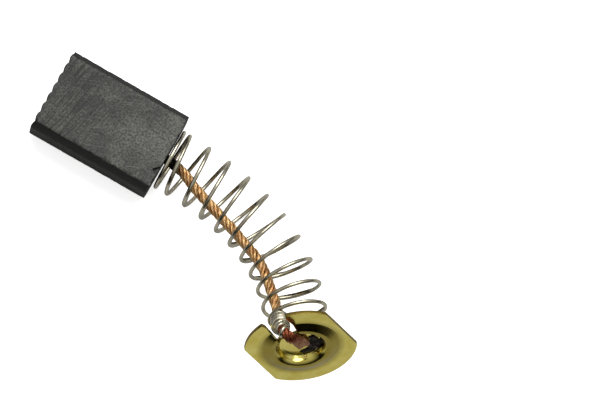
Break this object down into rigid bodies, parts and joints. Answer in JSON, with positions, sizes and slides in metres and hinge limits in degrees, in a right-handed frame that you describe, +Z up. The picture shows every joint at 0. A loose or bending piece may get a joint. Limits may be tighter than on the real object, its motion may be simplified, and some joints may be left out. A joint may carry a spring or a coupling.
{
  "type": "carbon brush",
  "caption": "Carbon brush for a small electric motor: ridged graphite block, bent coil spring round a stranded copper shunt, and a flanged brass contact cap with a slot.",
  "frame": {"origin": "middle of the graphite block's lower broad face, on which the brush lies", "axes": "+X along the block towards the spring and cap, +Y across the block, +Z up"},
  "size_m": [0.0354, 0.0164, 0.0109],
  "materials": {
    "graphite": "satin, ground, dark grey",
    "copper_powder": "matt tamped copper powder",
    "copper_strand": "bare stranded copper, slightly tarnished",
    "spring_steel": "drawn wire, grey, satin",
    "brass_sheet": "pressed sheet, satin, yellow"
  },
  "bodies": {
    "root": {"carbon_block": "graphite", "tamped_plug": "copper_powder", "shunt": "copper_strand", "spring": "spring_steel", "contact_cap": "brass_sheet"}
  },
  "joints": []
}
